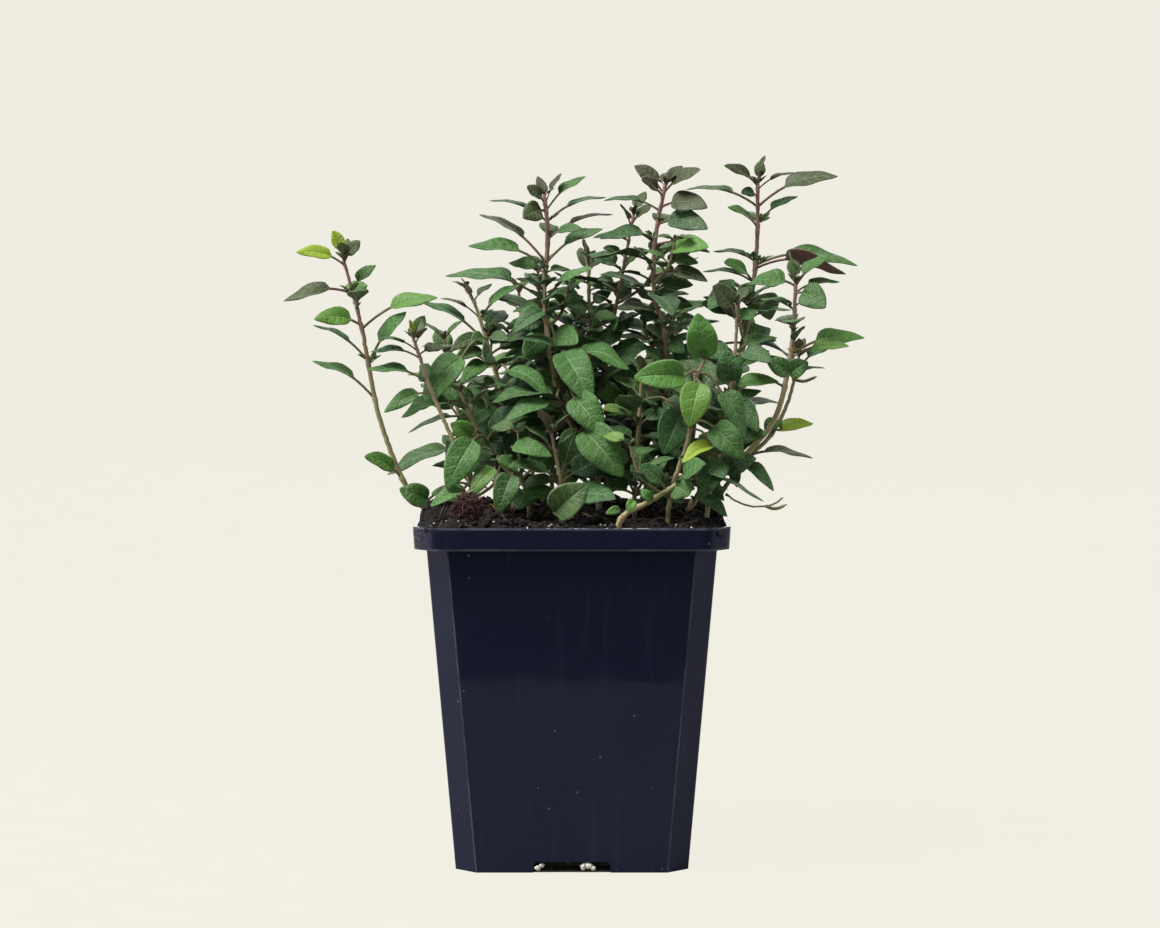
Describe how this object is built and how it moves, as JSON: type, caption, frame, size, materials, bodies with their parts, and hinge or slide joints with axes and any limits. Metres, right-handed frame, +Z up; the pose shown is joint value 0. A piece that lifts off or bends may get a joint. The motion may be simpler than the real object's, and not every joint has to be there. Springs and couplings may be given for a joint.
{
  "type": "potted oregano plant",
  "caption": "Square tapered nursery pot with a stepped rim and cut corners, filled with soil and planted with leafy oregano stems.",
  "frame": {"origin": "on the floor, in the middle of the plant's and the pot's outline seen from above", "axes": "+Z up the pot and the stems, -Y to the front, +X to the viewer's right"},
  "size_m": [0.1662, 0.091, 0.2041],
  "materials": {
    "pot": "satin",
    "soil": "matte",
    "leaf": "satin"
  },
  "bodies": {
    "root": {"pot": "pot", "root_ball": "soil", "stem_left": "leaf", "stem_left_inner": "leaf", "stem_front_left": "leaf", "stem_mid_left": "leaf", "stem_main": "leaf", "stem_centre_back": "leaf", "stem_pale": "leaf", "stem_red": "leaf", "stem_right": "leaf", "stem_right_bow": "leaf", "stem_right_inner": "leaf", "stem_olive": "leaf", "stem_front_right": "leaf", "stem_runner": "leaf", "stem_back_left": "leaf", "stem_back_middle": "leaf", "stem_back_right": "leaf", "stem_side_right": "leaf", "stem_centre": "leaf", "stem_front": "leaf", "stem_front_middle": "leaf"}
  },
  "joints": []
}
